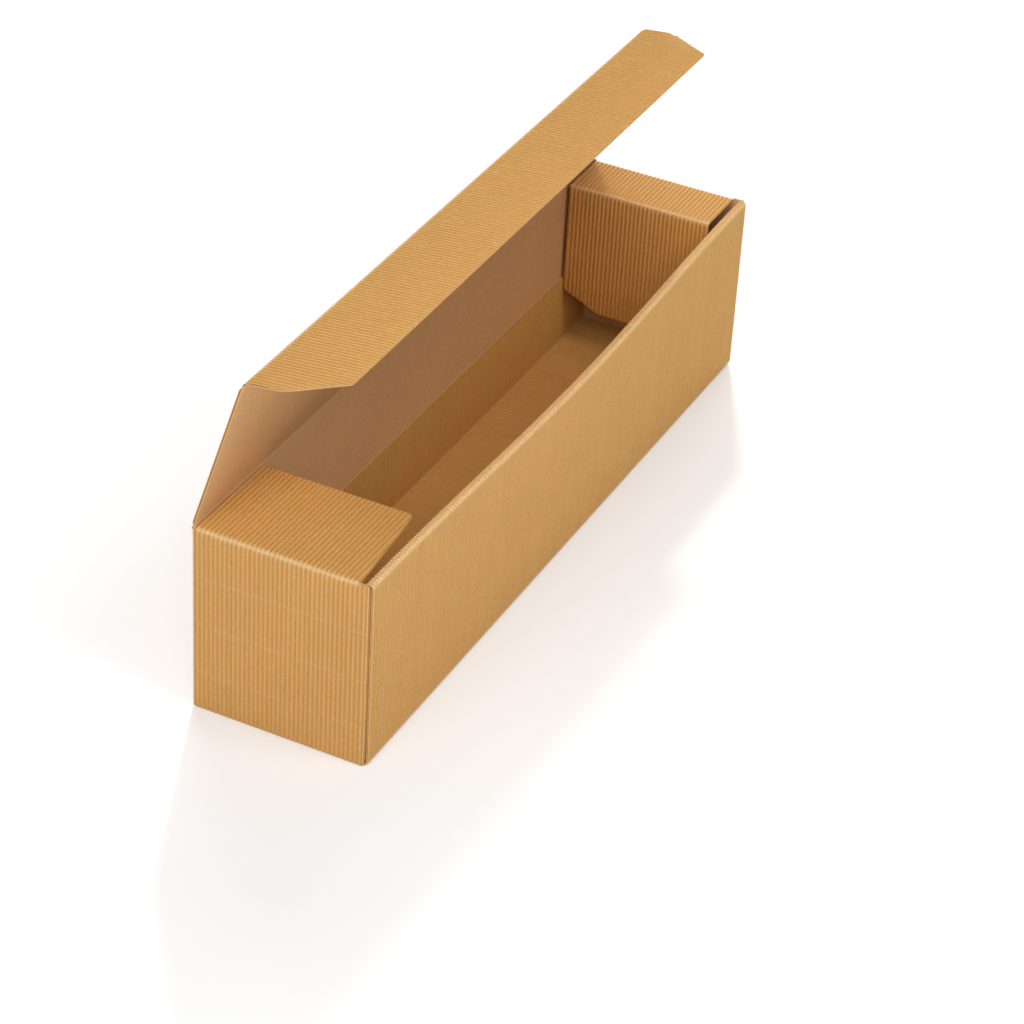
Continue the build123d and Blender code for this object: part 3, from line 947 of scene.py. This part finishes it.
def tuck_length(x):
    """Depth of the tuck flap at x: its full depth, or near an end a bevel or a rounded corner.

    The bevel starts TUCK_STRAIGHT deep and rises by TUCK_SLOPE. The arc's centre is TUCK_CORNER
    from both, so it lies centre deep, and the arc touches the bevel at touch from the flap's end.
    """
    inset = np.maximum(TUCK_HALF - np.abs(x), 0)
    centre = TUCK_STRAIGHT + TUCK_CORNER * (TUCK_SLOPE - math.hypot(1, TUCK_SLOPE))
    touch = TUCK_CORNER * (1 - TUCK_SLOPE / math.hypot(1, TUCK_SLOPE))
    arc = centre + np.sqrt(np.maximum(TUCK_CORNER**2 - (TUCK_CORNER - inset) ** 2, 0))
    return np.minimum(np.where(inset < touch, arc, TUCK_STRAIGHT + TUCK_SLOPE * inset), TUCK_DEPTH)


def tuck_start(x):
    """Where the tuck flap begins at x: on the hinge line, and near its ends on a short slant."""
    return np.clip(np.abs(x) - ROOT_HALF, 0, TUCK_ROOT) / TUCK_ROOT * TUCK_ROOT_RUN


arc_steps = TUCK_CORNER * (1 - np.cos(np.linspace(0, TUCK_ARC, 12)))
end_steps = np.append(arc_steps, np.linspace(0, TUCK_ROOT, 6))
tuck_ends = np.append(end_steps - TUCK_HALF, TUCK_HALF - end_steps)
tuck_rows = fold_path([TUCK_HINGE, TUCK_HINGE + TUCK_WAY * TUCK_DEPTH], -1, ends=("fold", "cut"),
                      beyond=(0.0, FAR_OFF))
tuck_columns = wrap_columns(TUCK_HALF, tuck_ends)
tuck_papers = two_papers(tuck_rows, tuck_columns, -BACK_HALF, BACK_HALF, in_lid,
                         start=tuck_start, reach=tuck_length, keep=tuck_ends)
piece_from("tuck_panel", tuck_papers, "tuck_flap", "tuck_flap")

# %% Creases
meet = (BACK_FACE - lid_spot(0)[0]) / LID_WAY[0]      # from the hinge to where both faces meet
lid_path = [(BACK_FACE, WALL_FOLD), lid_spot(meet), lid_spot(CREASE)]
tuck_path = [lid_spot(LID_SPAN - CREASE), TUCK_HINGE, TUCK_HINGE + TUCK_WAY * BESIDE_FOLD[0]]
for name, path, half, bodies in (("lid_crease", lid_path, HALF_LENGTH, ("tray", "lid")),
                                 ("tuck_crease", tuck_path, ROOT_HALF, ("lid", "tuck_flap"))):
    rows = fold_path(path, -1, ends=("fold", "fold"))
    papers = two_papers(rows, wrap_columns(half), -BACK_HALF, BACK_HALF, in_lid, coarse=32)
    piece_from(name, papers, bodies, bodies[1], blend=((0, *path[0]), (0, *path[-1])))

# %% [markdown]
# ## Measure
# The finished model is measured, and its bounds are printed, as the tray's size was at the start.

# %% Measure and finish
low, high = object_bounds()
print("visual box", tuple(round(v, 4) for v in low), tuple(round(v, 4) for v in high))
